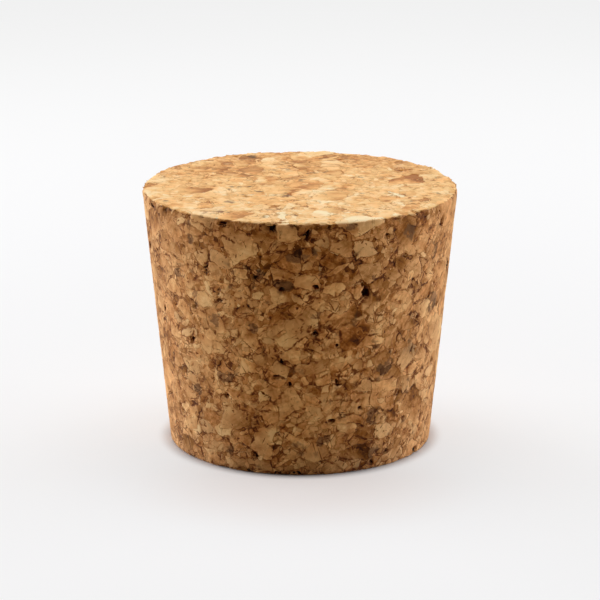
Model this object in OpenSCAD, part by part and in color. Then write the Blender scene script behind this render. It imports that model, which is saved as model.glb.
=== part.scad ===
// Tapered stopper ground from one block of pressed cork granules.
// It stands on its narrow end. The origin is the centre of that end's face,
// +Z runs up the axis to the wide end, and -Y is the front.
// Grinding tears some granules out, and each leaves an angular pocket in the surface.

/* [Body] */
// Diameter of the wide top end
top_d = 46; // [20:0.5:80]
// Diameter of the narrow bottom end
bottom_d = 38.5; // [18:0.5:78]
// Height from the bottom face to the top face
height = 38; // [15:0.5:80]

/* [Edges] */
// Radius that the grinding leaves on the top rim
top_edge_r = 0.3; // [0.3:0.1:3]
// Radius that the grinding leaves on the bottom rim
bottom_edge_r = 0.3; // [0.3:0.1:3]

/* [Torn-out granules] */
// Pockets in each square centimetre of the side, past the front
side_pockets = 1.1; // [0:0.1:2]
// Pockets in each square centimetre of the two end faces
end_pockets = 0.5; // [0:0.1:1]
// Nicks round the top rim
rim_nicks = 14; // [0:1:24]
// Width of an average pocket
pocket_w = 0.9; // [0.5:0.1:1.5]
// Depth of the pockets
pocket_d = 0.8; // [0.3:0.1:1.5]
// Width of an average nick
nick_w = 0.7; // [0.3:0.1:1.2]
// Depth of the nicks
nick_d = 0.4; // [0.1:0.1:0.8]

/* [Hidden] */

$fn = 120;

top_r = top_d / 2;
bottom_r = bottom_d / 2;
// How far the side leans out of the upright
lean = atan2(top_r - bottom_r, height);
// Outward normal of the side in the half plane of the profile
side_normal = [cos(lean), -sin(lean)];

// Larger pockets of the front, each as its turn from -Y, its share of the height,
// its width, its length, and how far its length slants off the upright
front_pockets = [
    [-57, 0.98, 0.5, 1.0, 85],
    [-28, 0.98, 0.5, 1.5, 95],
    [-10, 0.98, 0.5, 1.5, 85],
    [3, 0.96, 0.5, 1.9, -20],
    [-15, 0.79, 0.4, 1.5, 100],
    [-7, 0.74, 0.5, 1.3, -35],
    [6, 0.75, 0.9, 1.3, 80],
    [25, 0.72, 1.4, 1.8, 10],
    [6, 0.57, 0.6, 1.2, 70],
    [14, 0.52, 0.5, 0.7, 0],
    [-47, 0.50, 0.8, 1.2, 10],
    [-7, 0.46, 0.4, 1.4, 20],
    [-9, 0.40, 0.5, 1.2, 100],
    [-4, 0.37, 0.7, 0.8, 0],
    [15, 0.37, 0.5, 1.4, 35],
    [-31, 0.30, 0.5, 0.9, 75],
    [25, 0.26, 0.5, 0.6, 90],
    [13, 0.22, 0.4, 1.2, 95],
    [-19, 0.07, 0.7, 1.1, 5],
    [32, 0.03, 0.4, 0.7, 0],
];
// Half of the turn that those cover
front_half = 60;
// Elsewhere steps of this share of a turn spread any number of pockets evenly
golden = (sqrt(5) - 1) / 2;
// Shares of the average between which their widths and lengths vary
spread = [0.6, 1.6];
// How far round a nick strays from even spacing, as a share of that spacing
stray = 0.5;
// Outline of a pocket: its corners, how far each turns off an even spacing,
// and the shares of the pocket's size between which each reaches out
corners = 5;
corner_turn = 25;
corner_reach = [0.4, 0.6];
// How far the floor of a pocket tilts
floor_tilt = 20;
// The end faces stay whole within this radius and this near the rim
whole_r = 5;
whole_rim = 1.5;
// How far a cutter stands out of the surface
clear = 1;
// First seed of each family of cutters, far enough apart that none is drawn twice
side_seed = 1000;
rim_seed = 2400;
top_face_seed = 4000;
bottom_face_seed = 5000;

side_cm2 = PI * (top_r + bottom_r) * norm([top_r - bottom_r, height]) / 100;
side_count = round(side_pockets * side_cm2 * (1 - front_half / 180));

// Centre of an edge arc of radius r that touches the side and the end face at height z.
// The face looks up at the top end (facing 1) and down at the bottom end (facing -1).
function arc_centre(end_r, z, r, facing) =
    let (corner = 90 - facing * lean)
    [end_r - r / tan(corner / 2), z - facing * r];

top_arc = arc_centre(top_r, height, top_edge_r, 1);
bottom_arc = arc_centre(bottom_r, 0, bottom_edge_r, -1);

// Half section: end faces and side from the tangent points, the corners as true arcs
module half_section() {
    polygon([
        [0, 0],
        [bottom_arc.x, 0],
        bottom_arc + bottom_edge_r * side_normal,
        top_arc + top_edge_r * side_normal,
        [top_arc.x, height],
        [0, height],
    ]);
    translate(bottom_arc) circle(r = bottom_edge_r);
    translate(top_arc) circle(r = top_edge_r);
}

// Cutter for one pocket in the plane z = 0: an uneven polygon, its length along X,
// sunk to a depth and tilted a little. Each whole seed gives another form.
module pocket(width, length, depth, seed) {
    tilt = rands(-floor_tilt, floor_tilt, 2, seed);
    turn = rands(-corner_turn, corner_turn, corners, seed + 0.2);
    reach = rands(corner_reach[0], corner_reach[1], corners, seed + 0.4);
    rotate([tilt[0], tilt[1], 0]) translate([0, 0, -depth])
        linear_extrude(depth + clear) polygon([
            for (i = [0:corners - 1]) let (a = i * 360 / corners + turn[i])
                reach[i] * [length * cos(a), width * sin(a)]
        ]);
}

// Pocket whose size and direction are drawn too
module drawn_pocket(seed) {
    size = pocket_w * rands(spread[0], spread[1], 2, seed + 0.6);
    rotate(rands(0, 360, 1, seed + 0.8)[0]) pocket(size[0], size[1], pocket_d, seed);
}

// Places a cutter on the side, its length running up and down unless it slants
module on_side(turn, share, slant) {
    rotate(turn - 90)
        translate([bottom_r + share * (top_r - bottom_r), 0, share * height])
            rotate([0, 90 + lean, 0]) rotate(slant) children();
}

module side_cutters() {
    for (i = [0:len(front_pockets) - 1]) let (p = front_pockets[i])
        on_side(p[0], p[1], p[4]) pocket(p[2], p[3], pocket_d, i);
    for (i = [0:1:side_count - 1])
        on_side(front_half + 2 * (180 - front_half) * (i * golden % 1), (i + 0.5) / side_count, 0)
            drawn_pocket(side_seed + i);
}

// Nicks round the top rim, near even spacing
module nick_cutters() {
    for (i = [0:1:rim_nicks - 1]) let (seed = rim_seed + i)
        on_side(360 / rim_nicks * (i + rands(-stray, stray, 1, seed)[0]), 1, 0)
            pocket(nick_w * rands(spread[0], spread[1], 1, seed)[0], nick_w, nick_d, seed);
}

// Cutters for an end face of radius r that lies at z = 0 and looks up,
// evenly spread over the ring between its whole middle and its whole rim
module face_cutters(r, seed) {
    count = round(end_pockets * PI * pow(r, 2) / 100);
    inner = pow(whole_r, 2);
    outer = pow(r - whole_rim, 2);
    for (i = [0:1:count - 1])
        rotate(360 * golden * i) translate([sqrt(inner + (outer - inner) * (i + 0.5) / count), 0, 0])
            drawn_pocket(seed + i);
}

module stopper() {
    color("burlywood") difference() {
        rotate_extrude() half_section();
        side_cutters();
        nick_cutters();
        translate([0, 0, height]) face_cutters(top_r, top_face_seed);
        mirror([0, 0, 1]) face_cutters(bottom_r, bottom_face_seed);
    }
}

stopper();
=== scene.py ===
"""Looks of a tapered stopper ground from pressed cork granules.

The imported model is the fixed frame. A fine skin is laid over its one solid, and one recipe of
granules, written once, raises the skin in mesh and colours it in the material, so both agree.
"""

import logging
import math
from dataclasses import dataclass, field
from enum import Enum

import bpy
import numpy as np
from mathutils import Euler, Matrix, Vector
from mathutils.bvhtree import BVHTree


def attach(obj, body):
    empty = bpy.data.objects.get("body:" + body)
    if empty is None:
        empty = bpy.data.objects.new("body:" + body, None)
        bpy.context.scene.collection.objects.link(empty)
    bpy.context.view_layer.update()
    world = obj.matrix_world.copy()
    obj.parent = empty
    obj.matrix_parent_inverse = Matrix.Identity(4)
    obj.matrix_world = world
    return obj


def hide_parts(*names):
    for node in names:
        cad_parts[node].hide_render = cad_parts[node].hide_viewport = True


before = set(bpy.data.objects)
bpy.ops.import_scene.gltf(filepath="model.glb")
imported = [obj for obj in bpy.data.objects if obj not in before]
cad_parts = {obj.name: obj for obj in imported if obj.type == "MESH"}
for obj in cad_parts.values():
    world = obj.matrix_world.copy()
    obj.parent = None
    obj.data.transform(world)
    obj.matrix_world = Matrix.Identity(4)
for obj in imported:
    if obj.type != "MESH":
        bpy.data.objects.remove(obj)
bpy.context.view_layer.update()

log = logging.getLogger("stopper")

MM = 0.001
ROOT = "root"
FAR = 9.0                     # more millimetres than any effect reaches
MIDDLE = (0.5, 0.5, 0.5)      # mean of three random numbers
WHITE = (1.0, 1.0, 1.0, 1.0)
# What is stored at each vertex of the skin
FROM_RIM = "from_rim"         # distance from the nearest rim in mm, above 0 on an end face
TORN_DEPTH = "torn_depth"     # depth of a torn-out pocket, in mm
LOOSE = "loose"               # how loose the filling between the granules is
MARKS = "marks"               # how strongly each kind of patch shows
PAINTED_LIGHT_AND_TONE = "cast"                 # how much paler than the mean, partly the granules' tone and partly painted light and shade
BOLD = "bold"                 # how boldly the granules stand apart
HEIGHT = "height"             # of the granules, in mm

Pair = tuple[float, float]                # such as a radius and a height
Triple = tuple[float, float, float]       # a place, a direction or three angles
Colour = tuple[float, float, float]       # linear red, green and blue
Triangle = tuple[int, int, int]
Stops = tuple[tuple[float, Colour], ...]
Socket = bpy.types.NodeSocket
Outputs = bpy.types.bpy_prop_collection
Value = Socket | float | str | tuple[float, ...] | None
Feeds = dict[str | int, Value]            # what goes into a node's inputs, by name or number


def add_object(name: str, made: bpy.types.ID) -> bpy.types.Object:
    """Puts a mesh, a lamp or a camera into the scene.

    Args:
        name: The object's name.
        made: What it holds.

    Returns:
        The object.
    """
    placed = bpy.data.objects.new(name, made)
    bpy.context.scene.collection.objects.link(placed)
    return placed


# Node trees ---------------------------------------------------------------------------------


class TreeKind(Enum):
    """The two kinds of node tree that the granule recipe is laid out in."""

    SHADER = ("ShaderNodeTree", "ShaderNodeGroup")
    GEOMETRY = ("GeometryNodeTree", "GeometryNodeGroup")

    @property
    def tree_type(self) -> str:
        """Name of the node tree's type."""
        return self.value[0]

    @property
    def group_node(self) -> str:
        """Name of the node that places a group in such a tree."""
        return self.value[1]


class Mixed(Enum):
    """What a Mix node mixes, with the numbers of its first input and its output."""

    NUMBERS = ("FLOAT", 2, 0)
    VECTORS = ("VECTOR", 4, 1)
    COLOURS = ("RGBA", 6, 2)


@dataclass(frozen=True)
class Noise:
    """A noise pattern. Sizes are in millimetres."""

    size: float           # of its largest lumps
    detail: float = 2.0   # how many finer octaves it has
    rough: float = 0.5    # how strong each finer octave is
    shift: float = 0.0    # how far it is moved along each axis, so that no two agree


@dataclass(frozen=True)
class Band:
    """A range that is mapped onto another, eased at its ends and level outside."""

    low: float
    high: float
    to_low: float = 0.0
    to_high: float = 1.0


@dataclass
class Bench:
    """A node tree being laid out, with one short method for each kind of node in use."""

    tree: bpy.types.NodeTree

    @classmethod
    def blank(cls, made: bpy.types.Material | bpy.types.World) -> "Bench":
        """Starts the nodes of a material or of the world.

        Args:
            made: The material or the world.

        Returns:
            The bench to lay them out on.
        """
        made.use_nodes = True
        made.node_tree.nodes.clear()
        return cls(made.node_tree)

    @classmethod
    def group(cls, name: str, kind: TreeKind, takes: dict[str, str],
              gives: dict[str, str]) -> tuple["Bench", Outputs, bpy.types.Node]:
        """Starts a node group with named sockets.

        Args:
            name: The group's name.
            kind: The kind of tree it is for.
            takes: Input names and the type of each, such as Float or Vector.
            gives: Output names and their types.

        Returns:
            The bench to lay it out on, what the group is given, and its output node.
        """
        bench = cls(bpy.data.node_groups.new(name, kind.tree_type))
        for side, labels in (("INPUT", takes), ("OUTPUT", gives)):
            for label, socket in labels.items():
                bench.tree.interface.new_socket(label, in_out=side,
                                                socket_type="NodeSocket" + socket)
        return bench, bench.put("NodeGroupInput").outputs, bench.put("NodeGroupOutput")

    def put(self, kind: str, feeds: Feeds | None = None, **settings: object) -> bpy.types.Node:
        """Adds a node.

        Args:
            kind: The node's type name.
            feeds: What goes into its inputs.
            **settings: Properties to set on it first.

        Returns:
            The new node.
        """
        node = self.tree.nodes.new(kind)
        for name, value in settings.items():
            setattr(node, name, value)
        self.feed(node, feeds or {})
        return node

    def feed(self, node: bpy.types.Node, feeds: Feeds) -> None:
        """Links a node's inputs to other sockets, or sets their own values.

        Args:
            node: The node.
            feeds: What goes into its inputs.
        """
        for key, value in feeds.items():
            if isinstance(value, Socket):
                self.tree.links.new(value, node.inputs[key])
            elif value is not None:
                node.inputs[key].default_value = value

    def maths(self, operation: str, a: Value, b: Value = None, c: Value = None) -> Socket:
        """Puts a Math node, which works on one, two or three values."""
        return self.put("ShaderNodeMath", {0: a, 1: b, 2: c}, operation=operation).outputs[0]

    def about_middle(self, value: Value, strength: Value, base: Value) -> Socket:
        """Adds to a base how far a value lies off 0.5, times a strength."""
        return self.maths("MULTIPLY_ADD", self.maths("SUBTRACT", value, 0.5), strength, base)

    def vectors(self, operation: str, a: Value, b: Value = None, scale: Value = None) -> Socket:
        """Puts a Vector Math node.

        Args:
            operation: The operation's name.
            a: First vector.
            b: Second vector, if it has one.
            scale: The factor of a SCALE.

        Returns:
            The result's socket, a number for a product or a length and a vector for the rest.
        """
        node = self.put("ShaderNodeVectorMath", {0: a, 1: b, 3: scale}, operation=operation)
        number = operation in ("DOT_PRODUCT", "LENGTH", "DISTANCE")
        return node.outputs["Value" if number else "Vector"]

    def blend(self, share: Value, a: Value, b: Value, what: Mixed = Mixed.NUMBERS) -> Socket:
        """Puts a Mix node.

        Args:
            share: How much of b, 0 to 1.
            a: What share 0 gives.
            b: What share 1 gives.
            what: What they are.

        Returns:
            The result's socket.
        """
        kind, first, result = what.value
        node = self.put("ShaderNodeMix", {0: share, first: a, first + 1: b}, data_type=kind)
        return node.outputs[result]

    def times(self, colour: Value, other: Value) -> Socket:
        """Multiplies a colour by another, channel by channel.

        Args:
            colour: The colour.
            other: The other colour.

        Returns:
            The result's socket.
        """
        kind, first, result = Mixed.COLOURS.value
        node = self.put("ShaderNodeMix", {0: 1.0, first: colour, first + 1: other},
                        data_type=kind, blend_type="MULTIPLY")
        return node.outputs[result]

    def band(self, value: Value, band: Band) -> Socket:
        """Eases a value from one end of a band to the other.

        Args:
            value: The value.
            band: The band.

        Returns:
            The socket of what it is mapped onto.
        """
        given = (value, band.low, band.high, band.to_low, band.to_high)
        return self.put("ShaderNodeMapRange", dict(enumerate(given)), clamp=True,
                        interpolation_type="SMOOTHSTEP").outputs[0]

    def noise(self, place: Value, noise: Noise, three: bool = False) -> Socket:
        """Puts a Noise texture.

        Args:
            place: Where it is read, in millimetres.
            noise: The pattern.
            three: Whether three values are wanted instead of one.

        Returns:
            The value's socket, or that of the three values.
        """
        if noise.shift:
            place = self.vectors("ADD", place, (noise.shift,) * 3)
        node = self.put("ShaderNodeTexNoise", {
            "Vector": place, "Scale": 1.0 / noise.size, "Detail": noise.detail,
            "Roughness": noise.rough}, noise_dimensions="3D")
        return node.outputs[1 if three else 0]

    def ramp(self, value: Value, stops: Stops) -> Socket:
        """Puts a colour ramp.

        Args:
            value: Where the ramp is read.
            stops: Places from 0 to 1, each with a linear colour.

        Returns:
            The colour's socket.
        """
        node = self.put("ShaderNodeValToRGB", {0: value})
        marks = node.color_ramp.elements
        while len(marks) < len(stops):
            marks.new(0.5)
        for mark, (place, colour) in zip(marks, stops):
            mark.position = place
            mark.color = (*colour, 1.0)
        return node.outputs[0]

    def stain(self, colour: Value, share: Value, tint: Colour) -> Socket:
        """Soaks a share of a tint into a colour, for stains and painted shade alike. All of it
        lets the tint through.
        """
        left = self.put("ShaderNodeGamma", {"Color": (*tint, 1.0), "Gamma": share})
        return self.times(colour, left.outputs[0])

    def split(self, vector: Value) -> list[Socket]:
        """Splits a vector or a colour into the sockets of its three numbers."""
        return list(self.put("ShaderNodeSeparateXYZ", {0: vector}).outputs)

    def join(self, x: Value, y: Value, z: Value) -> Socket:
        """Joins three numbers into a vector."""
        return self.put("ShaderNodeCombineXYZ", {0: x, 1: y, 2: z}).outputs[0]

    def stored(self, name: str) -> Outputs:
        """Reads what is stored at the vertices under a name."""
        return self.put("ShaderNodeAttribute", attribute_name=name).outputs


# Granules -----------------------------------------------------------------------------------


@dataclass(frozen=True)
class Grade:
    """One grade of cork granules, as it came through the sieve. Sizes are in millimetres."""

    name: str
    size: float          # mean distance between neighbours of this grade
    share: float         # part of the places of this grade that hold a granule
    gap: float           # how far the granule keeps inside its own place
    bend: float          # how far its outline wanders
    bend_size: float     # size of the wander
    crack: float         # how open the crack round it is, 0 to 1
    paleness: float      # how much lighter than the mean the grade is
    stretch: Triple      # how much the granules are squeezed along each axis
    turn: Triple         # how the squeezed axes are turned, in degrees
    shift: Triple        # which part of the endless pattern is used


# Each grade lies over those before it
GRADES = (
    Grade("debris", 0.9, 1.00, 0.0, 0.2, 0.8, 0.35, -0.06,
          (1.0, 1.5, 1.1), (20, 35, 10), (3.1, 7.7, 1.9)),
    Grade("fine", 1.7, 0.62, 0.1, 0.4, 1.0, 0.8, -0.02,
          (1.0, 1.5, 0.8), (60, 10, 40), (31.7, 2.3, 9.1)),
    Grade("sliver", 2.0, 0.14, 0.26, 0.35, 1.2, 0.7, 0.2,
          (0.45, 2.6, 1.7), (25, 50, 80), (9.3, 13.9, 3.7)),
    Grade("middle", 3.0, 0.5, 0.16, 0.6, 1.7, 1.0, 0.05,
          (1.4, 0.8, 1.0), (15, 70, 25), (5.3, 41.9, 8.2)),
    Grade("coarse", 5.2, 0.3, 0.22, 1.0, 2.8, 1.0, 0.08,
          (0.8, 1.0, 1.5), (35, 20, 75), (17.1, 6.7, 29.3)),
    Grade("chip", 1.8, 0.09, 0.24, 0.3, 1.1, 0.8, 0.16,
          (1.9, 0.5, 2.4), (70, 15, 120), (2.9, 8.3, 21.1)),
)
# Cracks that run on through the granules, along flat cells that hold none of their own
SEAMS = Grade("seams", 3.4, 1.0, 0.0, 1.3, 2.2, 0.8, 0.0,
              (0.4, 1.0, 1.5), (50, 30, 15), (27.3, 5.9, 12.7))


@dataclass
class Pile:
    """What shows of the granules that lie over each other so far."""

    dice: Value = MIDDLE      # three numbers of the granule's own
    tone: Value = 0.5         # how pale it is
    line: Value = 0.0         # cracks between granules
    shade: Value = 0.0        # painted shade beside granules that stand proud
    covered: Value = 0.0      # 1 where a coarse granule hides the filling
    height: Value = 0.0       # mm
    slope: Value = 0.0        # how far up a leaning granule the place lies, in mm


@dataclass(frozen=True)
class GranuleRecipe:
    """How granules of all grades lie over each other. The same in mesh and in material.

    Sizes are in millimetres, and shares run from 0 to 1.
    """

    grades: tuple[Grade, ...] = GRADES
    seams: Grade = SEAMS
    small: float = 1.8             # finer grades can merge, coarser ones hold their filling
    edge: Band = Band(-0.02, 0.03)  # depth over which a granule's edge rises
    wander: Pair = (3.0, 0.6)      # detail and roughness of its outline
    beneath: float = 0.2           # how much of a crack shows through a granule on top of it
    leak: float = 0.3              # how much of what lies under a granule shows in its tone
    # Where cracks and painted shades show at all, and how wide the cracks stand
    patchy: Noise = Noise(2.4, 2.0, 0.6)
    ragged: Noise = Noise(0.95, 2.0, 0.6)
    loose_patch: Band = Band(0.6, 0.7)
    loose_near: Band = Band(0.02, 0.08)
    firm: Band = Band(0.42, 0.62, 0.1, 1.0)
    crack_width: Band = Band(0.44, 0.78, 0.024, 0.24)   # half widths
    gape: float = 2.2              # how many times wider a crack stands in the loosest places
    seam_width: float = 0.7        # width of a seam as a share of a crack's
    seam_shows: Band = Band(0.5, 0.6)
    shade_side: Band = Band(-0.4, 0.0)   # the painted shade beside a proud granule
    shade_shows: Band = Band(0.44, 0.6)
    # Where the filling of a gap is missing
    filling: Noise = Noise(1.8, 4.0, 0.6)
    missing: Band = Band(0.695, 0.725)
    crack_pull: float = 0.12       # how much sooner the filling goes along a crack
    # Relief
    lift: float = 0.05             # how much the granules differ in height
    tilt: float = 0.035            # how steeply a granule can lean
    crack_depth: float = 0.07
    void_depth: float = 0.6

    def grade_group(self, kind: TreeKind) -> bpy.types.NodeTree:
        """Builds the node group of one grade.

        Args:
            kind: The kind of tree it is for.

        Returns:
            The group. Inside is 1 on a granule of the grade, Depth the distance in from its
            outline in millimetres (negative outside), Dice three numbers of its own, and
            Slope how far up a granule that leans its own way a place lies, in millimetres.
        """
        bench, taken, given = Bench.group(
            "Granule grade", kind,
            {"Place": "Vector", "Size": "Float", "Share": "Float", "Gap": "Float",
             "Bend": "Float", "Bend Size": "Float", "Stretch": "Vector", "Turn": "Vector",
             "Shift": "Vector"},
            {"Inside": "Float", "Depth": "Float", "Dice": "Vector", "Slope": "Float"})
        squeezed = self.squeezed_place(bench, taken)
        scale = bench.maths("DIVIDE", 1.0, taken["Size"])
        nearest, border = (
            bench.put("ShaderNodeTexVoronoi",
                      {"Vector": squeezed, "Scale": scale, "Randomness": 1.0},
                      voronoi_dimensions="3D", feature=feature).outputs
            for feature in ("F1", "DISTANCE_TO_EDGE"))
        first, second, third = bench.split(nearest["Color"])
        present = bench.maths("LESS_THAN", first, taken["Share"])
        absent = bench.maths("MULTIPLY", bench.maths("SUBTRACT", 1.0, present), -FAR)
        to_edge = bench.maths("MULTIPLY", border["Distance"], taken["Size"])
        depth = bench.maths("SUBTRACT", to_edge, taken["Gap"])
        from_centre = bench.vectors("SUBTRACT", squeezed, nearest["Position"])
        lean = bench.vectors("SUBTRACT", nearest["Color"], MIDDLE)
        bench.feed(given, {
            "Inside": bench.maths("MULTIPLY", bench.band(depth, self.edge), present),
            "Depth": bench.maths("ADD", depth, absent),
            "Dice": bench.join(bench.maths("DIVIDE", first, taken["Share"]), second, third),
            "Slope": bench.vectors("DOT_PRODUCT", from_centre, lean)})
        return bench.tree

    def squeezed_place(self, bench: Bench, taken: Outputs) -> Socket:
        """Bends, turns and squeezes a place, so that plain cells there look like granules.

        Args:
            bench: The grade's tree.
            taken: What the grade's group is given.

        Returns:
            The socket of the place in which the cells are read.
        """
        place = bench.vectors("ADD", taken["Place"], taken["Shift"])
        detail, rough = self.wander
        wander = bench.put("ShaderNodeTexNoise", {
            "Vector": place, "Scale": bench.maths("DIVIDE", 1.0, taken["Bend Size"]),
            "Detail": detail, "Roughness": rough}, noise_dimensions="3D")
        pull = bench.vectors("SUBTRACT", wander.outputs["Color"], MIDDLE)
        reach = bench.maths("MULTIPLY", taken["Bend"], 2.0)
        bent = bench.vectors("ADD", place, bench.vectors("SCALE", pull, scale=reach))
        turned = bench.put("ShaderNodeVectorRotate", {"Vector": bent, "Rotation": taken["Turn"]},
                           rotation_type="EULER_XYZ")
        return bench.vectors("MULTIPLY", turned.outputs[0], taken["Stretch"])

    @staticmethod
    def spread(bench: Bench, group_node: str, tree: bpy.types.NodeTree, grade: Grade,
               place: Value) -> Outputs:
        """Places the group of one grade with the grade's own values.

        Args:
            bench: The tree it is placed in.
            group_node: Name of the node that places a group there.
            tree: The group.
            grade: The grade.
            place: The place in millimetres.

        Returns:
            The group's outputs.
        """
        return bench.put(group_node, {
            "Place": place, "Size": grade.size, "Share": grade.share, "Gap": grade.gap,
            "Bend": grade.bend, "Bend Size": grade.bend_size, "Stretch": grade.stretch,
            "Turn": tuple(math.radians(a) for a in grade.turn), "Shift": grade.shift,
        }, node_tree=tree, label=grade.name).outputs

    @staticmethod
    def crack(bench: Bench, depth: Value, width: Value, strength: float) -> Socket:
        """Draws the crack along a grade's outlines.

        Args:
            bench: The tree it is drawn in.
            depth: Distance in from the outline, in millimetres.
            width: Half width of the crack, in millimetres.
            strength: How open it is, 0 to 1.

        Returns:
            The crack's socket, strength on the outline and 0 away from it.
        """
        near = bench.maths("DIVIDE", depth, width)
        drop = bench.maths("MULTIPLY", bench.maths("MULTIPLY", near, near), -1.0)
        return bench.maths("MULTIPLY", bench.maths("EXPONENT", drop), strength)

    def lay(self, bench: Bench, pile: Pile, grade: Grade, cell: Outputs, width: Socket,
            share: Value) -> None:
        """Lays one grade over the pile.

        Args:
            bench: The tree it is laid out in.
            pile: The grades before it, which this changes.
            grade: The grade.
            cell: What its group gives at the place.
            width: Half width of the cracks there.
            share: How much of its own tone it has.
        """
        inside, depth, own = cell["Inside"], cell["Depth"], cell["Dice"]
        _, own_tone, own_height = bench.split(own)
        outside = bench.maths("SUBTRACT", 1.0, inside)
        hidden = bench.maths("MULTIPLY_ADD", inside, self.beneath - 1.0, 1.0)
        pile.line = bench.maths("MAXIMUM", bench.maths("MULTIPLY", pile.line, hidden),
                                self.crack(bench, depth, width, grade.crack))
        beside = bench.maths("MAXIMUM", pile.shade, bench.band(depth, self.shade_side))
        pile.shade = bench.maths("MULTIPLY", beside, outside)
        pile.tone = bench.blend(bench.maths("MULTIPLY", inside, share), pile.tone,
                                bench.maths("ADD", own_tone, grade.paleness))
        pile.dice = bench.blend(inside, pile.dice, own, Mixed.VECTORS)
        proud = bench.maths("MULTIPLY_ADD", own_height, self.lift, -self.lift)
        pile.height = bench.blend(inside, pile.height, proud)
        pile.slope = bench.blend(inside, pile.slope, cell["Slope"])
        if grade.size > self.small:
            pile.covered = bench.maths("MAXIMUM", pile.covered, inside)

    def field_group(self, kind: TreeKind) -> bpy.types.NodeTree:
        """Builds the node group of the whole granule field.

        Args:
            kind: The kind of tree it is for.

        Returns:
            The group. It takes a place in millimetres, how loose the cork is there, and how
            far small granules merge with the rest. It gives what a Pile holds, and the places
            where the filling is missing (Void).
        """
        bench, taken, given = Bench.group(
            "Cork granules", kind, {"Place": "Vector", "Loose": "Float", "Merge": "Float"},
            {"Dice": "Vector", "Tone": "Float", "Line": "Float", "Shade": "Float",
             "Void": "Float", "Slope": "Float", "Height": "Float"})
        place = taken["Place"]
        share = 1.0 - self.leak
        small_share = bench.maths("MULTIPLY_ADD", taken["Merge"], -share, share)
        grade_tree = self.grade_group(kind)
        patchy = bench.split(bench.noise(place, self.patchy, three=True))
        ragged = bench.split(bench.noise(place, self.ragged, three=True))
        loose = bench.maths("MAXIMUM", bench.band(patchy[2], self.loose_patch),
                            bench.band(taken["Loose"], self.loose_near))
        firm = bench.maths("MAXIMUM", bench.band(patchy[0], self.firm), loose)
        gape = bench.maths("MULTIPLY_ADD", loose, self.gape - 1.0, 1.0)
        width = bench.maths("MULTIPLY", bench.band(ragged[0], self.crack_width), gape)
        pile = Pile()
        for grade in self.grades:
            cell = self.spread(bench, kind.group_node, grade_tree, grade, place)
            self.lay(bench, pile, grade, cell, width,
                     small_share if grade.size < self.small else share)
        seam = self.spread(bench, kind.group_node, grade_tree, self.seams, place)["Depth"]
        seam = self.crack(bench, seam, bench.maths("MULTIPLY", width, self.seam_width),
                          self.seams.crack)
        seam = bench.maths("MULTIPLY", seam, bench.band(ragged[1], self.seam_shows))
        line = bench.maths("MAXIMUM", bench.maths("MULTIPLY", pile.line, firm), seam)
        filling = bench.maths("MULTIPLY_ADD", line, self.crack_pull,
                              bench.noise(place, self.filling))
        missing = bench.band(bench.maths("ADD", filling, taken["Loose"]), self.missing)
        void = bench.maths("MULTIPLY", missing, bench.maths("SUBTRACT", 1.0, pile.covered))
        height = pile.height
        for value, rise in ((pile.slope, self.tilt), (line, -self.crack_depth),
                            (void, -self.void_depth)):
            height = bench.maths("MULTIPLY_ADD", value, rise, height)
        bench.feed(given, {
            "Dice": pile.dice, "Tone": pile.tone, "Line": line,
            "Shade": bench.maths("MULTIPLY", pile.shade,
                                 bench.band(patchy[1], self.shade_shows)),
            "Void": void, "Slope": pile.slope, "Height": height})
        return bench.tree


# The stopper --------------------------------------------------------------------------------


class Stuff(Enum):
    """What patches that stand out are made of, and the column of each in the marks."""

    BARK = 0     # dark, and greyer than cork
    HEART = 1    # red-brown
    PALE = 2     # light new cork


@dataclass(frozen=True)
class Patch:
    """A large granule or a piece of bark that stands out on the front."""

    turn: float      # how far round it lies, in degrees from the front
    share: float     # its height as a share of the stopper's
    width: float     # mm
    length: float    # mm
    slant: float     # how far its length leans off the upright, in degrees
    strength: float  # 0 to 1


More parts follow.
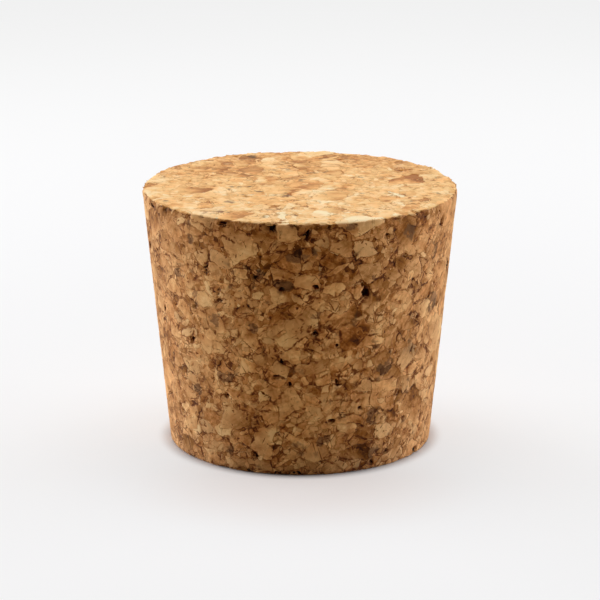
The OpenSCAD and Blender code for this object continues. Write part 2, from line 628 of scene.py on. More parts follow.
PATCHES = {
    Stuff.BARK: (
        Patch(0, 0.88, 2.3, 4.7, 85, 0.8),
        Patch(-15, 0.79, 1.8, 2.5, 80, 1.0),
        Patch(-6, 0.76, 1.8, 2.8, 100, 0.9),
        Patch(18, 0.98, 1.4, 3.8, 90, 0.7),
        Patch(43, 0.93, 3.0, 3.6, 0, 0.6),
        Patch(27, 0.77, 1.5, 2.4, 90, 0.6),
        Patch(-43, 0.90, 1.5, 1.6, 0, 0.7),
        Patch(-51, 0.75, 1.8, 2.6, 80, 0.7),
        Patch(-43, 0.67, 1.7, 3.0, 0, 0.8),
        Patch(-34, 0.60, 2.4, 2.6, 50, 0.9),
        Patch(5, 0.64, 1.4, 3.2, 80, 0.6),
        Patch(-18, 0.58, 1.6, 1.8, 0, 0.8),
        Patch(62, 0.61, 3.0, 3.5, 0, 0.6),
        Patch(30, 0.52, 2.2, 2.6, 0, 0.6),
        Patch(35, 0.41, 2.2, 3.2, 60, 1.0),
        Patch(-30, 0.38, 2.4, 3.4, 70, 0.8),
        Patch(-46, 0.30, 1.6, 1.8, 0, 0.9),
        Patch(32, 0.22, 2.6, 2.8, 40, 1.0),
        Patch(10, 0.14, 1.6, 2.3, 60, 1.0),
        Patch(31, 0.07, 2.2, 3.4, 80, 0.6),
    ),
    Stuff.HEART: (
        Patch(-50, 0.87, 2.6, 5.2, -10, 1.0),
        Patch(-29, 0.92, 3.6, 4.2, 90, 0.5),
        Patch(-10, 0.84, 3.4, 5.5, 80, 0.7),
        Patch(-10, 0.63, 3.4, 4.3, 75, 0.9),
        Patch(22, 0.52, 4.6, 5.4, 20, 0.9),
        Patch(13, 0.38, 3.2, 3.8, 90, 0.6),
        Patch(-16, 0.21, 3.8, 4.2, 0, 0.6),
        Patch(22, 0.16, 1.6, 2.6, 80, 0.8),
        Patch(-12, 0.08, 2.8, 4.4, 90, 0.6),
    ),
    Stuff.PALE: (
        Patch(-15, 0.92, 2.6, 3.6, 60, 0.7),
        Patch(-18, 0.82, 1.5, 2.1, 90, 0.8),
        Patch(29, 0.80, 2.4, 2.6, 0, 0.6),
        Patch(46, 0.79, 2.2, 5.0, 70, 0.7),
        Patch(32, 0.62, 3.0, 3.4, 0, 0.6),
        Patch(-54, 0.48, 3.2, 5.0, 60, 0.7),
        Patch(0, 0.48, 1.9, 5.0, 80, 0.7),
        Patch(-4, 0.35, 2.0, 8.0, 113, 0.9),
        Patch(24, 0.38, 1.9, 4.0, 80, 0.8),
        Patch(51, 0.19, 1.8, 4.0, 60, 0.8),
        Patch(-10, 0.16, 2.6, 3.2, 0, 0.8),
        Patch(-52, 0.14, 3.2, 3.6, 0, 1.0),
    ),
}


@dataclass(frozen=True)
class Cast:
    """A soft area of the front painted a little paler or darker: partly the granules' tone, partly
    painted light and shade.
    """

    turn: float      # degrees from the front
    share: float     # of the stopper's height
    width: float     # mm
    height: float    # mm
    tone: float      # how much paler, below 0 for darker


# partly painted light and shade: paler low on the front, darker high up
CASTS = (
    Cast(0, 0.87, 34, 10, -0.14),
    Cast(0, 0.67, 22, 6, 0.12),
    Cast(0, 0.19, 28, 14, 0.10),
    Cast(-28, 0.50, 8, 24, 0.12),
    Cast(-4, 0.50, 6, 24, -0.10),
    Cast(17, 0.50, 5, 22, 0.09),
)


@dataclass(frozen=True)
class Spot:
    """What the material knows about the place that it colours."""

    place: Socket       # in millimetres
    granules: Outputs   # what the granule field gives there
    mottle: Socket      # fine noise
    ends: Socket        # 1 on the end faces and 0 on the side
    bold: Socket        # how boldly the granules stand apart
    calm: Socket        # how much of the fine contrast is left, less on the end faces


@dataclass(frozen=True)
class CorkFinish:
    """Dry ground cork with no coating. Colours are linear, and sizes in millimetres."""

    slot: str = "cork"
    recipe: GranuleRecipe = field(default_factory=GranuleRecipe)
    mottle: Noise = Noise(1.1, 4.0, 0.68)
    # Colours by tone, from the darkest to the palest
    tones: Stops = (
        (0.00, (0.110, 0.028, 0.002)),
        (0.16, (0.270, 0.090, 0.010)),
        (0.33, (0.455, 0.194, 0.055)),
        (0.50, (0.622, 0.302, 0.114)),
        (0.66, (0.758, 0.406, 0.170)),
        (0.82, (0.880, 0.520, 0.232)),
        (1.00, (0.965, 0.625, 0.305)),
    )
    # paler, less saturated end faces: partly the end grain's own colour, partly painted light from
    # the lamp overhead
    end_tones_with_painted_light: Stops = (
        (0.00, (0.380, 0.125, 0.020)),
        (0.25, (0.700, 0.318, 0.092)),
        (0.50, (0.930, 0.535, 0.205)),
        (0.70, (0.970, 0.632, 0.300)),
        (0.85, (0.985, 0.700, 0.380)),
        (1.00, (0.990, 0.790, 0.485)),
    )
    bark_tones: Stops = (
        (0.00, (0.060, 0.022, 0.007)),
        (0.45, (0.170, 0.074, 0.029)),
        (1.00, (0.420, 0.198, 0.088)),
    )
    # What raises or lowers the tone, and by how much at most
    tone_of_granule: float = 0.6     # the granule's own
    end_contrast: float = 0.8        # the same on the end faces
    tone_of_slope: float = 0.16      # along its lean, for each millimetre
    tone_of_patch: float = 0.76      # within it
    tone_of_ring: float = 0.35       # its growth rings
    tone_of_cloud: float = 0.55      # over several granules
    tone_of_fibre: float = 0.2       # loose fibres
    tone_of_heart: float = -0.16
    tone_of_pale: float = 0.15
    grit: Band = Band(0.2, 0.9, 0.25, 1.2)    # from the calmest granules to the roughest
    patch: Noise = Noise(2.6, 1.0)
    ring: Noise = Noise(1.0, 2.0, 0.6)
    ring_rate: float = 3.0           # how much finer the rings are than that
    cloud: Noise = Noise(5.5, 1.0)
    own_pattern: float = 40.0        # how far apart two granules read their patches
    # Hue
    tints: Stops = (
        (0.20, (1.03, 0.95, 0.87)),
        (0.50, (1.00, 1.00, 1.00)),
        (0.80, (0.96, 1.01, 1.05)),
    )
    hue: Noise = Noise(1.7, 3.0, 0.6, shift=5.0)
    hue_of_granule: float = -0.45
    hue_of_heart: float = -0.12
    # Loose fibres, which are short pieces of a curve
    curve: Noise = Noise(2.2, shift=21.0)
    curve_width: Band = Band(0.004, 0.016, 1.0, 0.0)
    cut: Noise = Noise(1.4, shift=27.0)
    cut_shows: Band = Band(0.52, 0.6)
    # Granules that stand out: patches listed one by one, then those that chance brings
    edge_of_granule: float = 1.2     # how far a patch follows the granules at its edge
    edge_of_mottle: float = 3.0      # and how ragged it is
    mark_shows: Band = Band(0.3, 0.5)
    red: Noise = Noise(4.5, 2.0, 0.6, shift=47.0)
    red_shows: Band = Band(0.58, 0.66)
    cream: Colour = (0.930, 0.590, 0.290)
    cream_shows: Band = Band(0.92, 0.97, 0.0, 0.5)
    smudge: Noise = Noise(3.0, 3.0, 0.62, shift=9.0)
    smudge_of_granule: float = 0.07
    smudge_shows: Band = Band(0.66, 0.77)
    bark_cover: float = 0.85         # how much of the cork the bark hides
    # Short dark pores, which all run one way in a granule
    pore: Noise = Noise(0.42, 1.0)
    pore_squeeze: float = 0.4        # how much finer they are across than along
    pore_aside: Triple = (0.3, 0.5, 0.8)      # a direction that no granule's pores take
    pore_shows: Band = Band(0.68, 0.73, 0.0, 0.6)
    # End faces
    rim_wander: float = 1.8          # how ragged the line between the side and them is
    rim_line: Band = Band(0.1, 0.3)
    end_merge: float = 0.7           # how far the small granules merge on them
    clear: Noise = Noise(3.0, 2.0, 0.6, shift=33.0)
    clear_shows: Band = Band(0.42, 0.6, 0.1, 0.5)
    # Stains and painted shade, as what the full stain lets through
    # dark joints between granules, partly painted shade in the narrow cracks
    crack_joint_and_shade: Colour = (0.140, 0.058, 0.024)
    end_stain: Colour = (1.000, 0.580, 0.240)
    # painted shade beside granules that stand proud, darkening the colour where real shade would
    # fall
    painted_shade_tint: Colour = (0.680, 0.590, 0.490)
    # the hollows where filling or a granule is missing: dark debris, and painted shade in the
    # recess
    void_debris_and_shade: Colour = (0.080, 0.020, 0.008)
    pit_of_mottle: float = 1.4       # how ragged the dark floor of a torn-out pocket is, painted shade and dark debris
    pit_shows: Band = Band(0.95, 1.3)
    # Gloss, and relief finer than the skin
    roughness: Band = Band(0.3, 0.7, 0.72, 0.9)
    specular: float = 0.06
    sheen: float = 0.2               # from the loose fibres that stand up all over it
    sheen_rough: float = 0.5
    sheen_tint: Colour = (1.000, 0.850, 0.600)
    bump: float = 0.45
    rise_of_mottle: float = 0.1
    rise_of_pore: float = -0.06

    def spot(self, bench: Bench) -> Spot:
        """Reads what the rest of the material is mixed from.

        Args:
            bench: The material's node tree.

        Returns:
            The readings at the place that is coloured.
        """
        where = bench.put("ShaderNodeTexCoord").outputs["Object"]
        place = bench.vectors("SCALE", where, scale=1.0 / MM)
        mottle = bench.noise(place, self.mottle)
        from_rim, loose, bold = (bench.stored(name)["Fac"] for name in (FROM_RIM, LOOSE, BOLD))
        ends = bench.band(bench.about_middle(mottle, self.rim_wander, from_rim), self.rim_line)
        clear = bench.band(bench.noise(place, self.clear), self.clear_shows)
        merge = bench.maths("MULTIPLY", ends, self.end_merge)
        granules = bench.put("ShaderNodeGroup", node_tree=self.recipe.field_group(TreeKind.SHADER))
        bench.feed(granules, {"Place": place, "Loose": loose, "Merge": merge})
        return Spot(place, granules.outputs, mottle, ends, bold, bench.blend(ends, bold, clear))

    def fibres(self, bench: Bench, spot: Spot) -> Socket:
        """Draws the loose fibres.

        Args:
            bench: The material's node tree.
            spot: The readings.

        Returns:
            The socket, 1 on a fibre and 0 elsewhere.
        """
        wave = bench.maths("SUBTRACT", bench.noise(spot.place, self.curve), 0.5)
        thin = bench.band(bench.maths("ABSOLUTE", wave), self.curve_width)
        short = bench.band(bench.noise(spot.place, self.cut), self.cut_shows)
        return bench.maths("MULTIPLY", thin, short)

    def pores(self, bench: Bench, spot: Spot) -> Socket:
        """Draws the pores of the granules.

        Args:
            bench: The material's node tree.
            spot: The readings.

        Returns:
            The socket, above 0 in a pore.
        """
        aim = bench.vectors("SUBTRACT", spot.granules["Dice"], MIDDLE)
        across = bench.vectors("CROSS_PRODUCT", aim, self.pore_aside)
        length, width = (bench.vectors("DOT_PRODUCT", spot.place, bench.vectors("NORMALIZE", way))
                         for way in (aim, across))
        grain = bench.join(bench.maths("MULTIPLY", length, self.pore_squeeze), width, 0.0)
        return bench.band(bench.noise(grain, self.pore), self.pore_shows)

    def tone(self, bench: Bench, spot: Spot) -> Socket:
        """Mixes how pale the cork is, 0 to 1.

        Args:
            bench: The material's node tree.
            spot: The readings.

        Returns:
            The tone's socket.
        """
        own = spot.granules["Dice"]
        first, second, _ = bench.split(own)
        aside = bench.vectors("ADD", spot.place,
                              bench.vectors("SCALE", own, scale=self.own_pattern))
        aim = bench.vectors("NORMALIZE", bench.vectors("SUBTRACT", own, MIDDLE))
        along = bench.maths("MULTIPLY", bench.vectors("DOT_PRODUCT", spot.place, aim),
                            self.ring_rate)
        rings = bench.noise(bench.join(along, first, second), self.ring)
        grit = bench.maths("MULTIPLY", bench.band(first, self.grit), spot.calm)
        contrast = bench.blend(spot.ends, self.tone_of_granule, self.end_contrast)
        tone = bench.about_middle(spot.granules["Tone"], contrast, 0.5)
        tone = bench.maths("MULTIPLY_ADD", spot.granules["Slope"], self.tone_of_slope, tone)
        for value, strength in (
                (bench.noise(aside, self.patch), self.tone_of_patch),
                (rings, self.tone_of_ring),
                (bench.noise(spot.place, self.cloud), self.tone_of_cloud),
                (spot.mottle, grit)):
            tone = bench.about_middle(value, strength, tone)
        tone = bench.maths("MULTIPLY_ADD", self.fibres(bench, spot), self.tone_of_fibre, tone)
        tone = bench.about_middle(tone, spot.bold, 0.5)
        # paler or darker areas stored on the skin, partly painted light and shade
        return bench.maths("ADD", tone, bench.stored(PAINTED_LIGHT_AND_TONE)["Fac"])

    def colour(self, bench: Bench, spot: Spot) -> Socket:
        """Mixes the colour of the clean cork and of the bark in it.

        Args:
            bench: The material's node tree.
            spot: The readings.

        Returns:
            The colour's socket.
        """
        first, _, third = bench.split(spot.granules["Dice"])
        ragged = bench.about_middle(spot.mottle, self.edge_of_mottle, 1.0)
        ragged = bench.about_middle(third, self.edge_of_granule, ragged)
        bark, heart, pale = (
            bench.band(bench.maths("MULTIPLY", ragged, mark), self.mark_shows)
            for mark in bench.split(bench.stored(MARKS)["Vector"]))
        red = bench.band(bench.noise(spot.place, self.red), self.red_shows)
        heart = bench.maths("MAXIMUM", heart, red)
        tone = bench.maths("MULTIPLY_ADD", heart, self.tone_of_heart, self.tone(bench, spot))
        tone = bench.maths("MULTIPLY_ADD", pale, self.tone_of_pale, tone)
        # the end faces take their paler colours, partly painted light
        colour = bench.blend(spot.ends, bench.ramp(tone, self.tones),
                             bench.ramp(tone, self.end_tones_with_painted_light), Mixed.COLOURS)
        hue = bench.about_middle(first, self.hue_of_granule, bench.noise(spot.place, self.hue))
        hue = bench.maths("MULTIPLY_ADD", heart, self.hue_of_heart, hue)
        colour = bench.times(colour, bench.ramp(hue, self.tints))
        colour = bench.blend(bench.band(third, self.cream_shows), colour,
                             (*self.cream, 1.0), Mixed.COLOURS)
        smudge = bench.maths("MULTIPLY_ADD", third, self.smudge_of_granule,
                             bench.noise(spot.place, self.smudge))
        bark = bench.maths("MAXIMUM", bark, bench.band(smudge, self.smudge_shows))
        bark = bench.maths("MULTIPLY", bark, self.bark_cover)
        return bench.blend(bark, colour, bench.ramp(tone, self.bark_tones), Mixed.COLOURS)

    def stained(self, bench: Bench, spot: Spot, pores: Socket) -> Socket:
        """Mixes the colour with painted shade beside proud granules, and with pores, cracks and
        hollows, whose dark is partly painted shade.

        Args:
            bench: The material's node tree.
            spot: The readings.
            pores: The pores.

        Returns:
            The colour's socket.
        """
        # pores and cracks: dark pores and joints, the cracks partly painted shade
        dark = bench.maths("MAXIMUM", pores, spot.granules["Line"])
        dark = bench.maths("MULTIPLY", dark, spot.calm)
        pit = bench.maths("MULTIPLY_ADD", spot.mottle, self.pit_of_mottle,
                          bench.stored(TORN_DEPTH)["Fac"])
        # hollows darkened in colour: dark debris, and painted shade where the hole is deep
        hollow = bench.maths("MAXIMUM", spot.granules["Void"], bench.band(pit, self.pit_shows))
        colour = self.colour(bench, spot)
        for share, tint in (
                (bench.maths("MULTIPLY", spot.granules["Shade"], spot.calm), self.painted_shade_tint),
                (dark, self.crack_joint_and_shade),
                (bench.maths("MULTIPLY", dark, spot.ends), self.end_stain),
                (hollow, self.void_debris_and_shade)):
            colour = bench.stain(colour, share, tint)
        return colour

    def material(self) -> bpy.types.Material:
        """Builds the material.

        Returns:
            The material.
        """
        made = bpy.data.materials.new("Pressed cork")
        bench = Bench.blank(made)
        spot = self.spot(bench)
        pores = self.pores(bench, spot)
        rise = bench.maths("MULTIPLY_ADD", spot.mottle, self.rise_of_mottle,
                           spot.granules["Height"])
        rise = bench.maths("MULTIPLY_ADD", pores, self.rise_of_pore, rise)
        relief = bench.put("ShaderNodeBump", {"Strength": self.bump, "Distance": MM,
                                              "Height": rise})
        shader = bench.put("ShaderNodeBsdfPrincipled", {
            "Base Color": self.stained(bench, spot, pores),
            "Roughness": bench.band(spot.mottle, self.roughness),
            "Normal": relief.outputs[0],
            "Specular IOR Level": self.specular,
            "Sheen Weight": self.sheen,
            "Sheen Roughness": self.sheen_rough,
            "Sheen Tint": (*self.sheen_tint, 1.0)})
        bench.put("ShaderNodeOutputMaterial", {"Surface": shader.outputs[0]})
        return made


@dataclass
class Section:
    """Half section of a turned body, gathered run by run. Sizes are in metres."""

    step: float                                               # between two points, about
    points: list[np.ndarray] = field(default_factory=list)    # radius and height
    normals: list[np.ndarray] = field(default_factory=list)   # outward, in the half plane
    arc_step: float = 0.7                                     # share of a step, on an arc

    def straight(self, a: Pair, b: Pair, normal: Pair) -> None:
        """Adds a straight run, all but its last point.

        Args:
            a: Where it starts.
            b: Where it ends.
            normal: Its outward normal.
        """
        count = max(2, round(math.dist(a, b) / self.step))
        share = np.arange(count)[:, None] / count
        self.points.append(np.array(a) * (1 - share) + np.array(b) * share)
        self.normals.append(np.tile(normal, (count, 1)))

    def arc(self, centre: Pair, r: float, start: float, stop: float) -> None:
        """Adds a round corner, all but its last point.

        Args:
            centre: Its centre.
            r: Its radius.
            start: Direction of its first normal, in radians up from level.
            stop: Direction of its last normal.
        """
        count = max(3, round(r * abs(stop - start) / (self.arc_step * self.step)))
        angle = start + (stop - start) * np.arange(count) / count
        normal = np.stack([np.cos(angle), np.sin(angle)], 1)
        self.points.append(np.array(centre) + r * normal)
        self.normals.append(normal)

    def close(self, point: Pair, normal: Pair) -> tuple[np.ndarray, np.ndarray]:
        """Adds the last point and gives all of the points and normals."""
        return (np.concatenate([*self.points, [point]]),
                np.concatenate([*self.normals, [normal]]))


@dataclass
class Stopper:
    """The stopper, one block of pressed granules ground to a taper. Sizes are in metres."""

    top_r: float = 23.0 * MM
    bottom_r: float = 19.25 * MM
    height: float = 38.0 * MM
    top_edge_r: float = 0.3 * MM
    bottom_edge_r: float = 0.3 * MM
    step: float = 0.31 * MM              # length of a triangle's edge in the skin
    probe: float = 0.2 * MM              # how far outside a pocket is looked for
    deepest_pocket: float = 2.5 * MM     # and how far inside
    shallowest_pocket: float = 0.05 * MM
    loosening: float = 0.13              # how far the cork has come loose round a pocket
    loose_steps: int = 5                 # how many steps of the skin that reaches
    firmness: float = 0.05               # how much firmer the ground end faces hold
    painted_end_shade: float = 0.19                   # painted shade: how much darker the end faces are towards the back
    calm_turn: Pair = (42, 72)           # between which turns off the front it calms
    calmness: float = 0.3                # by how much
    flank_painted_light: float = 0.02              # and how much paler it is painted there, as painted light on the brighter flanks
    rim_wear: float = 5.5                # how many times rougher the top rim is than the faces
    rim_reach: float = 0.6 * MM          # how far from the rim that goes
    patch_edge: float = 1.4              # where a patch ends, in half sizes
    cast_fall: float = 0.7               # how quickly a cast fades off its middle
    node: str = "stopper"
    finish: CorkFinish = field(default_factory=CorkFinish)

    @property
    def lean(self) -> float:
        """How far the side leans out of the upright, in radians."""
        return math.atan2(self.top_r - self.bottom_r, self.height)

    def corner(self, end_r: float, z: float, r: float, facing: int) -> Pair:
        """Centre of the arc that eases an end face, which faces up (1) or down (-1)."""
        half = (math.pi / 2 - facing * self.lean) / 2
        return end_r - r / math.tan(half), z - facing * r

    def outline(self) -> tuple[np.ndarray, np.ndarray]:
        """Half section from the centre of the bottom to the centre of the top.

        Returns:
            Points (radius, height) about a step apart, and the outward normal at each.
        """
        low = self.corner(self.bottom_r, 0.0, self.bottom_edge_r, -1)
        high = self.corner(self.top_r, self.height, self.top_edge_r, 1)
        side = (math.cos(self.lean), -math.sin(self.lean))
        foot = (low[0] + self.bottom_edge_r * side[0], low[1] + self.bottom_edge_r * side[1])
        brow = (high[0] + self.top_edge_r * side[0], high[1] + self.top_edge_r * side[1])
        section = Section(self.step)
        section.straight((0.0, 0.0), (low[0], 0.0), (0.0, -1.0))
        section.arc(low, self.bottom_edge_r, -math.pi / 2, -self.lean)
        section.straight(foot, brow, side)
        section.arc(high, self.top_edge_r, -self.lean, math.pi / 2)
        section.straight((high[0], self.height), (0.0, self.height), (0.0, 1.0))
        return section.close((0.0, self.height), (0.0, 1.0))

    def skin(self) -> tuple[np.ndarray, np.ndarray, list[Triangle]]:
        """Even skin of triangles over the whole body: a ring at each point of the outline.

        Returns:
            Places and outward normals of the vertices, and the triangles.
        """
        places, facings, faces = [], [], []
        before: list[int] = []
        for row, ((r, z), (out, rise)) in enumerate(zip(*self.outline())):
            count = round(math.tau * r / self.step) if r > 0.5 * self.step else 1
            angle = (np.arange(count) + 0.5 * (row % 2)) * math.tau / count
            first = sum(len(p) for p in places)
            for stack, reach, up in ((places, r, z), (facings, out, rise)):
                stack.append(np.stack([reach * np.cos(angle), reach * np.sin(angle),
                                       np.full(count, up)], 1))
            ring = list(range(first, first + count))
            if before:
                faces += self.zip_rings(before, ring, row)
            before = ring
        return np.concatenate(places), np.concatenate(facings), faces

    @staticmethod
    def zip_rings(lower: list[int], upper: list[int], row: int) -> list[Triangle]:
        """Joins two rings of any two counts with one band of triangles.

        Args:
            lower: Vertices of the ring before.
            upper: Vertices of the new ring.
            row: Number of the new ring, which says which of the two is turned by half a step.

        Returns:
            The triangles, facing out.
        """
        faces = []
        n, m = len(lower), len(upper)
        turn_low, turn_up = 0.5 * ((row - 1) % 2) / n, 0.5 * (row % 2) / m
        i = j = 0
        while True:
            next_low = (i + 1) / n + turn_low if i < n and n > 1 else math.inf
            next_up = (j + 1) / m + turn_up if j < m and m > 1 else math.inf
            if next_low == next_up == math.inf:
                return faces
            a, b = lower[i % n], upper[j % m]
            if next_low <= next_up:
                i += 1
                faces.append((a, lower[i % n], b))
            else:
                j += 1
                faces.append((a, upper[j % m], b))

    def pockets(self, places: np.ndarray, facings: np.ndarray) -> np.ndarray:
        """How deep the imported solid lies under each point, where a granule has torn out.

        Args:
            places: Points on the plain outline.
            facings: The outward normals there.

        Returns:
            Depths in metres, 0 where the solid is whole.
        """
        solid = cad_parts[self.node].data
        tree = BVHTree.FromPolygons([v.co for v in solid.vertices],
                                    [p.vertices for p in solid.polygons])
        depths = np.zeros(len(places))
        for i, (place, facing) in enumerate(zip(places, facings)):
            hit = tree.ray_cast(Vector(place + self.probe * facing), Vector(-facing),
                                self.probe + self.deepest_pocket)[3]
            depths[i] = max(0.0, hit - self.probe) if hit is not None else 0.0
        depths[depths < self.shallowest_pocket] = 0.0
        return depths

    def from_rim(self, places: np.ndarray) -> np.ndarray:
        """How far each point lies from the nearest rim.

        Args:
            places: Points on the plain outline.

        Returns:
            Distances in metres, above 0 on an end face and below 0 on the side.
        """
        out = np.hypot(places[:, 0], places[:, 1])
        up = places[:, 2]
        return np.maximum((self.top_r - out) - (self.height - up), (self.bottom_r - out) - up)

    def top_rim(self, places: np.ndarray) -> np.ndarray:
        """How near each point lies to the top rim.

        Args:
            places: Points on the plain outline.

        Returns:
            1 on the rim and 0 well away from it.
        """
        out = np.hypot(places[:, 0], places[:, 1])
        nearest = np.hypot(out - self.top_r, places[:, 2] - self.height)
        return np.exp(-(nearest / self.rim_reach) ** 2)

    def looseness(self, mesh: bpy.types.Mesh, torn: np.ndarray, ends: np.ndarray) -> np.ndarray:
        """How loose the cork is: more round the torn-out pockets, less on the end faces.

        Args:
            mesh: The skin.
            torn: Depth of the pockets at its vertices.
            ends: True at the vertices of the end faces.

        Returns:
            What is added to the chance that a gap has lost its filling.
        """
        pairs = np.empty(2 * len(mesh.edges), np.int32)
        mesh.edges.foreach_get("vertices", pairs)
        a, b = pairs.reshape(-1, 2).T
        neighbours = np.bincount(pairs, minlength=len(torn))
        inside = (torn > 0.0).astype(float)
        level = inside
        for _ in range(self.loose_steps):
            around = (np.bincount(a, level[b], len(torn))
                      + np.bincount(b, level[a], len(torn))) / neighbours
            level = np.maximum(inside, around)
        return level * self.loosening - ends * self.firmness

    def unrolled(self, places: np.ndarray, area: Patch | Cast) -> tuple[np.ndarray, np.ndarray]:
        """How far each point of the side lies from the middle of an area.

        Args:
            places: Points on the plain outline.
            area: The area.

        Returns:
            Distances to the right of it and up from it, in millimetres along the surface.
        """
        turn = np.degrees(np.arctan2(places[:, 0], -places[:, 1])) - area.turn
        out = np.hypot(places[:, 0], places[:, 1])
        return np.radians(turn) * out / MM, (places[:, 2] - area.share * self.height) / MM

    def marks(self, places: np.ndarray) -> np.ndarray:
        """How strongly each kind of patch shows at each point.

        Args:
            places: Points on the plain outline.

        Returns:
            A column for each kind, up to 1 well inside a patch and 0 well outside.
        """
        found = np.zeros((len(places), len(Stuff)))
        for stuff, patches in PATCHES.items():
            column = found[:, stuff.value]
            for patch in patches:
                right, up = self.unrolled(places, patch)
                lean = math.radians(patch.slant)
                along = up * math.cos(lean) + right * math.sin(lean)
                across = right * math.cos(lean) - up * math.sin(lean)
                reach = np.hypot(2 * along / patch.length, 2 * across / patch.width)
                shown = patch.strength * np.clip(self.patch_edge - reach, 0.0, 1.0)
                np.maximum(column, shown, out=column)
        return found

    def cast(self, places: np.ndarray, on_side: np.ndarray) -> np.ndarray:
        """How much paler than the mean each point is painted: the casts, painted light away from
        the front, and painted shade towards the back of the end faces.

        Args:
            places: Points on the plain outline.
            on_side: 1 on the side and 0 on the end faces.

        Returns:
            What is added to the tone there.
        """
        # painted light: paler away from the front, where the side lamps light it brighter
        paler = self.flank_painted_light * self.round_the_back(places)
        for cast in CASTS:
            right, up = self.unrolled(places, cast)
            away = np.hypot(2 * right / cast.width, 2 * up / cast.height)
            paler += cast.tone * np.exp(-self.cast_fall * away ** 2)
        # the end faces get painted shade, darker towards the back
        return paler * on_side - self.painted_end_shade * places[:, 1] / self.top_r * (1.0 - on_side)

    def round_the_back(self, places: np.ndarray) -> np.ndarray:
        """How far each point lies away from the front.

        Args:
            places: Points on the plain outline.

        Returns:
            0 on the front and 1 well away from it.
        """
        turn = np.degrees(np.abs(np.arctan2(places[:, 0], -places[:, 1])))
        share = np.clip((turn - self.calm_turn[0]) / (self.calm_turn[1] - self.calm_turn[0]), 0, 1)
        return share * share * (3.0 - 2.0 * share)

    @staticmethod
    def note(mesh: bpy.types.Mesh, name: str, values: np.ndarray) -> None:
        """Stores a number, or three, at each vertex.

        Args:
            mesh: The mesh.
            name: What the shader and the recipe call it.
            values: The numbers.
        """
        kind, slot = ("FLOAT", "value") if values.ndim == 1 else ("FLOAT_VECTOR", "vector")
        stored = mesh.attributes.new(name, kind, "POINT")
        stored.data.foreach_set(slot, values.astype(np.float32).ravel())

    def granule_heights(self, piece: bpy.types.Object) -> np.ndarray:
        """Reads the granule recipe at each vertex.

        Args:
            piece: The plain skin.

        Returns:
            Heights in metres.
        """
        kind = TreeKind.GEOMETRY
        bench, taken, given = Bench.group("Granule heights", kind, {"Skin": "Geometry"},
                                          {"Skin": "Geometry"})
        place = bench.put("GeometryNodeInputPosition").outputs[0]
        loose = bench.put("GeometryNodeInputNamedAttribute", {"Name": LOOSE}, data_type="FLOAT")
        recipe = bench.put(kind.group_node, node_tree=self.finish.recipe.field_group(kind))
        bench.feed(recipe, {"Place": bench.vectors("SCALE", place, scale=1.0 / MM),
                            "Loose": loose.outputs[0]})
        store = bench.put("GeometryNodeStoreNamedAttribute", {
            "Geometry": taken["Skin"], "Name": HEIGHT, "Value": recipe.outputs["Height"],
        }, data_type="FLOAT", domain="POINT")
        bench.feed(given, {"Skin": store.outputs[0]})
        reader = piece.modifiers.new("Granules", "NODES")
        reader.node_group = bench.tree
        seen = piece.evaluated_get(bpy.context.evaluated_depsgraph_get())
        heights = np.zeros(len(seen.data.vertices), np.float32)
        seen.data.attributes[HEIGHT].data.foreach_get("value", heights)
        piece.modifiers.remove(reader)
        return heights * MM

    def build(self) -> bpy.types.Object:
        """Makes the stopper's skin, carves and raises it, and dresses it.

        Returns:
            The finished piece.
        """
        places, facings, faces = self.skin()
        mesh = bpy.data.meshes.new("cork_body")
        mesh.from_pydata(places.tolist(), [], faces)
        mesh.polygons.foreach_set("use_smooth", np.ones(len(faces), bool))
        piece = add_object(mesh.name, mesh)
        torn = self.pockets(places, facings)
        rim = self.from_rim(places)
        on_side = np.clip(1.0 - rim / self.rim_reach, 0.0, 1.0)
        for name, values in (
                (TORN_DEPTH, torn / MM),
                (FROM_RIM, np.maximum(rim / MM, -FAR)),
                (LOOSE, self.looseness(mesh, torn, rim > 0.0)),
                (MARKS, self.marks(places) * on_side[:, None]),
                (PAINTED_LIGHT_AND_TONE, self.cast(places, on_side)),
                (BOLD, 1.0 - self.calmness * self.round_the_back(places) * on_side)):
            self.note(mesh, name, values)
        wear = 1.0 + self.rim_wear * self.top_rim(places)
        lift = self.granule_heights(piece) * wear - torn
        moved = places + facings * lift[:, None]
        moved[:, 2] = np.clip(moved[:, 2], 0.0, self.height)
        mesh.vertices.foreach_set("co", moved.astype(np.float32).ravel())
        mesh.update()
        mesh.materials.append(self.finish.material())
        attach(piece, ROOT)
        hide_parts(self.node)
        return piece


# The studio ---------------------------------------------------------------------------------


@dataclass(frozen=True)
class Softbox:
    """A soft rectangular lamp that faces a point. Sizes are in metres."""

    name: str
    place: Triple
    width: float
    depth: float
    power: float                 # W
    aim: Triple = (0.0, 0.0, 0.02)
    colour: Colour = (1.0, 1.0, 1.0)

    def build(self) -> bpy.types.Object:
        """Makes the lamp.

        Returns:
            The lamp.
        """
        lamp = bpy.data.lights.new(self.name, "AREA")
        lamp.shape = "RECTANGLE"
        lamp.size, lamp.size_y = self.width, self.depth
        lamp.energy = self.power
        lamp.color = self.colour
        hung = add_object(self.name, lamp)
        hung.location = self.place
        towards = Vector(self.aim) - Vector(self.place)
        hung.rotation_euler = towards.to_track_quat("-Z", "Y").to_euler()
        return hung


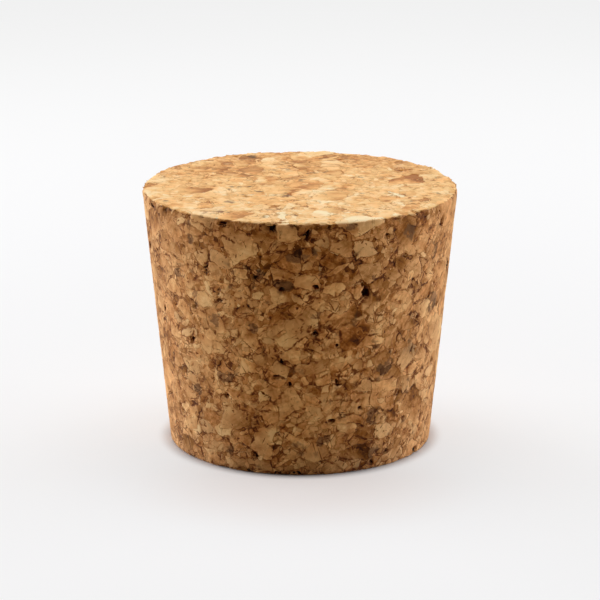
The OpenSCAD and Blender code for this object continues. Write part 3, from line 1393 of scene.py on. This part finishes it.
@dataclass(frozen=True)
class TableFinish:
    """Pale matte paint, which keeps the shadow and fades into the white beyond it.

    Distances are in metres and run from the stopper's axis.
    """

    colour: Colour = (0.72, 0.70, 0.69)
    bounce: Colour = (0.73, 0.615, 0.435)      # what it throws back onto the stopper
    roughness: float = 0.6
    specular: float = 0.1
    close_fade: Band = Band(18.95 * MM, 21.45 * MM, 0.0, 0.56)   # from the stopper's foot
    far_fade: Band = Band(0.05, 0.36, 0.0, 0.44)
    glow: Band = Band(0.1, 0.4, 1.06, 0.88)    # how white it looks, near and far
    painted_shadow_tint: Colour = (0.943, 0.874, 0.842)     # painted warm shadow in front of the foot, in the glow
    warm_spot: Triple = (0.0, -0.025, 0.0)
    warm_reach: Band = Band(0.004, 0.021)
    warm_shape: Triple = (0.75, 1.0, 1.0)      # the painted shadow is wider than deep

    def material(self) -> bpy.types.Material:
        """Builds the material.

        Returns:
            The material.
        """
        made = bpy.data.materials.new("White table")
        bench = Bench.blank(made)
        camera = bench.put("ShaderNodeLightPath").outputs["Is Camera Ray"]
        where = bench.put("ShaderNodeTexCoord").outputs["Object"]
        seen, cast = (*self.colour, 1.0), (*self.bounce, 1.0)
        paint = bench.put("ShaderNodeBsdfPrincipled", {
            "Base Color": bench.blend(camera, cast, seen, Mixed.COLOURS),
            "Roughness": self.roughness,
            "Specular IOR Level": self.specular})
        away = bench.vectors("LENGTH", where)
        shaped = bench.vectors("MULTIPLY", where, self.warm_shape)
        # painted warm shadow in front of the foot, tinting the glow there
        cooled = bench.band(bench.vectors("DISTANCE", shaped, self.warm_spot), self.warm_reach)
        glow = bench.put("ShaderNodeEmission", {
            "Color": bench.blend(cooled, (*self.painted_shadow_tint, 1.0), WHITE, Mixed.COLOURS),
            "Strength": bench.band(away, self.glow)})
        faded = bench.maths("ADD", bench.band(away, self.close_fade),
                            bench.band(away, self.far_fade))
        mix = bench.put("ShaderNodeMixShader", {0: bench.maths("MULTIPLY", faded, camera),
                                                1: paint.outputs[0], 2: glow.outputs[0]})
        bench.put("ShaderNodeOutputMaterial", {"Surface": mix.outputs[0]})
        return made


@dataclass(frozen=True)
class Table:
    """A round table. Sizes are in metres."""

    r: float = 3.0
    corners: int = 96            # enough that its edge looks round
    finish: TableFinish = field(default_factory=TableFinish)

    def build(self) -> bpy.types.Object:
        """Makes the table.

        Returns:
            The table.
        """
        mesh = bpy.data.meshes.new("table")
        rim = [(self.r * math.cos(a), self.r * math.sin(a), 0.0)
               for a in np.linspace(0, math.tau, self.corners, endpoint=False)]
        mesh.from_pydata(rim, [], [tuple(range(self.corners))])
        piece = add_object(mesh.name, mesh)
        mesh.materials.append(self.finish.material())
        return piece


@dataclass(frozen=True)
class Surroundings:
    """An even soft light from all round, which the camera sees as white."""

    ambient: float = 0.06
    white: float = 0.88

    def build(self) -> bpy.types.World:
        """Makes the surroundings.

        Returns:
            The world.
        """
        world = bpy.data.worlds.new("Studio")
        bench = Bench.blank(world)
        camera = bench.put("ShaderNodeLightPath").outputs["Is Camera Ray"]
        back = bench.put("ShaderNodeBackground", {
            "Color": WHITE, "Strength": bench.blend(camera, self.ambient, self.white)})
        bench.put("ShaderNodeOutputWorld", {"Surface": back.outputs[0]})
        bpy.context.scene.world = world
        return world


SIDE_LIGHT = (0.95, 1.02, 1.13)
LAMPS = (
    Softbox("overhead", (0.0, 0.17, 0.75), 0.8, 0.7, 5.15),
    Softbox("left", (-0.54, 0.25, 0.10), 0.5, 0.3, 4.75, colour=SIDE_LIGHT),
    Softbox("right", (0.56, 0.17, 0.10), 0.5, 0.3, 3.55, colour=SIDE_LIGHT),
)


@dataclass(frozen=True)
class Viewpoint:
    """A long lens that looks slightly down on the stopper. Distances are in metres."""

    lens: float = 168.7          # mm, for a sensor 36 mm wide
    sensor: float = 36.0
    distance: float = 0.4144
    elevation: float = 15.8      # degrees
    aim_height: float = 20.6 * MM
    clip: Pair = (0.01, 20.0)    # nearest and farthest that is seen

    def build(self) -> bpy.types.Object:
        """Makes the camera and sets it as the scene's own.

        Returns:
            The camera.
        """
        camera = bpy.data.cameras.new("camera")
        camera.lens = self.lens
        camera.sensor_width = self.sensor
        camera.clip_start, camera.clip_end = self.clip
        held = add_object("camera", camera)
        tilt = math.radians(self.elevation)
        held.location = (0.0, -self.distance * math.cos(tilt),
                         self.aim_height + self.distance * math.sin(tilt))
        held.rotation_euler = Euler((math.pi / 2 - tilt, 0.0, 0.0))
        bpy.context.scene.camera = held
        return held


def main() -> None:
    """Builds every piece in order."""
    logging.basicConfig(level=logging.INFO, format="%(name)s: %(message)s")
    bpy.context.scene.view_settings.view_transform = "Standard"
    for solid in (Stopper(), Table()):
        piece = solid.build()
        log.info("%s: %d faces", piece.name, len(piece.data.polygons))
    for fitting in (Surroundings(), *LAMPS, Viewpoint()):
        log.info("%s: set up", fitting.build().name)


if __name__ == "__main__":
    main()
